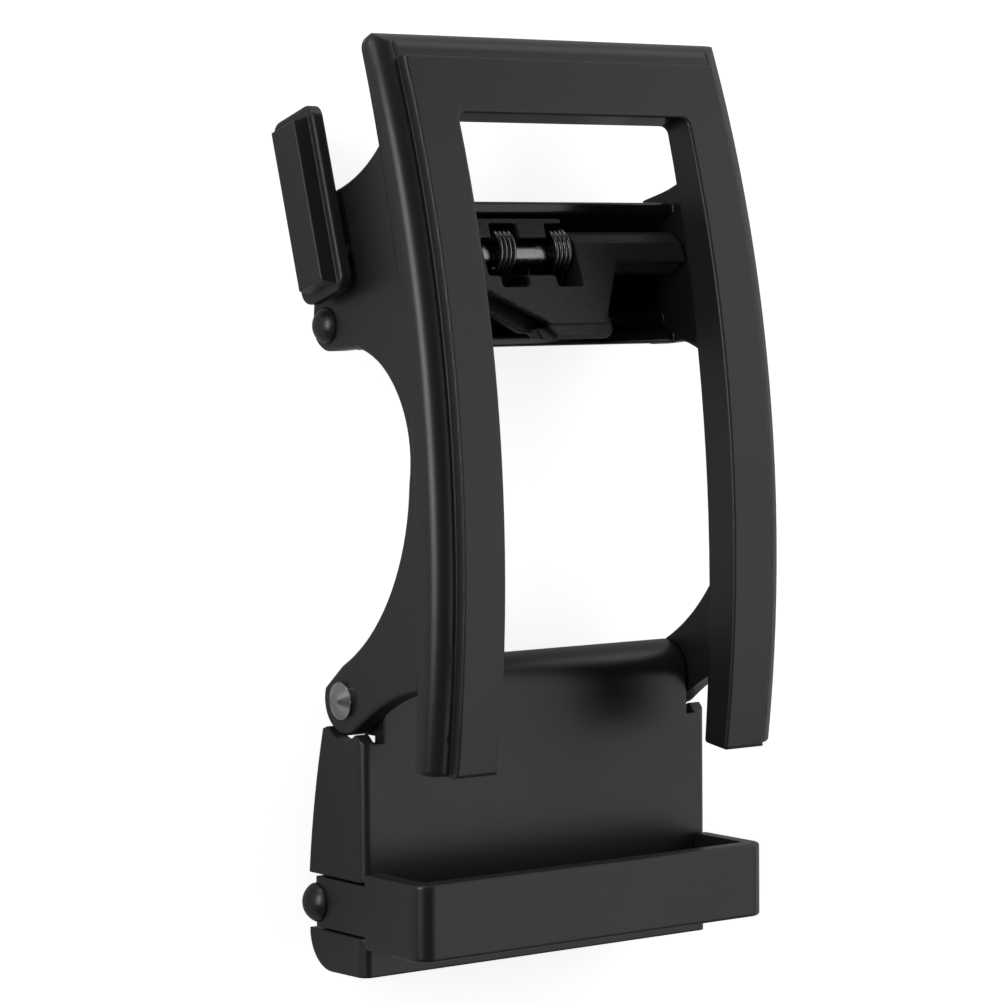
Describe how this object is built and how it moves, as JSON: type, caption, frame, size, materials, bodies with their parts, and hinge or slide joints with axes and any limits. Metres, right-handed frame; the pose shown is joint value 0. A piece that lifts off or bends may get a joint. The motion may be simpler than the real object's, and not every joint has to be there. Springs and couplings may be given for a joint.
{
  "type": "ratchet belt buckle",
  "caption": "Ratchet belt buckle with a curved open face, a side release lever, a sprung pawl and a hinged strap clamp with a keeper loop.",
  "frame": {"origin": "middle of the base of the buckle's box, as it lies on its back", "axes": "+X across the belt to the side away from the lever, +Y along the belt towards the lever's end, +Z out of the buckle's face"},
  "size_m": [0.0448, 0.0846, 0.0231],
  "materials": {
    "satin_black_paint": "satin black paint on zinc",
    "matte_black_coating": "matt, finely grained black coating",
    "bright_steel": "bare turned steel",
    "dark_steel": "oil-darkened steel"
  },
  "bodies": {
    "root": {"face_frame": "satin_black_paint", "cross_pin": "satin_black_paint", "hinge_pin": "bright_steel"},
    "release": {"pawl": "matte_black_coating", "pawl_shaft": "dark_steel", "release_lever": "satin_black_paint", "left_spring": "dark_steel", "right_spring": "dark_steel"},
    "clamp": {"clamp_housing": "satin_black_paint", "keeper_loop": "satin_black_paint", "clamp_rivet": "satin_black_paint"},
    "jaw": {"clamp_jaw": "matte_black_coating"}
  },
  "joints": [
    {"name": "release_turn", "type": "hinge", "parent": "root", "child": "release", "pos_m": [0.00119, 0.02278, 0.00806], "axis": [1, 0, 0], "range_deg": [0, 10], "stiffness_Nm_per_rad": 0.02, "springref_deg": -28.65, "deforming": ["left_spring", "right_spring"]},
    {"name": "clamp_swing", "type": "hinge", "parent": "root", "child": "clamp", "pos_m": [0.00119, -0.01736, 0.00731], "axis": [1, 0, 0], "range_deg": [-25, 40]},
    {"name": "jaw_swing", "type": "hinge", "parent": "clamp", "child": "jaw", "pos_m": [0.00119, -0.03626, 0.00286], "axis": [1, 0, 0], "range_deg": [-80, 0]}
  ]
}
